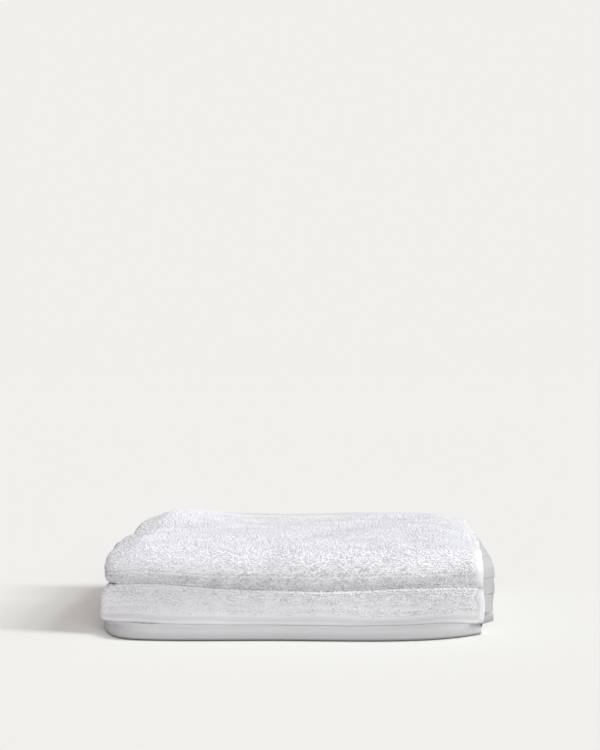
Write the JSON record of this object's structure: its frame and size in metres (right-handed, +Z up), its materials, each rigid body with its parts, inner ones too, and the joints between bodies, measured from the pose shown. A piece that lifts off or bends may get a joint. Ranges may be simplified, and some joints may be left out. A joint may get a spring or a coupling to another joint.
{
  "type": "folded hand towel",
  "caption": "Thick white terry hand towel, folded lengthwise and then back and forth into a soft low stack with rounded front edges.",
  "frame": {"origin": "centre of the underside, on the surface the towel rests on", "axes": "+Z up through the stack, +X along the folded front edges, -Y towards the front with the rounded folds"},
  "size_m": [0.2516, 0.1866, 0.0595],
  "materials": {
    "white_terry": "looped cotton pile, matt"
  },
  "bodies": {
    "root": {"towel": "white_terry"}
  },
  "joints": []
}
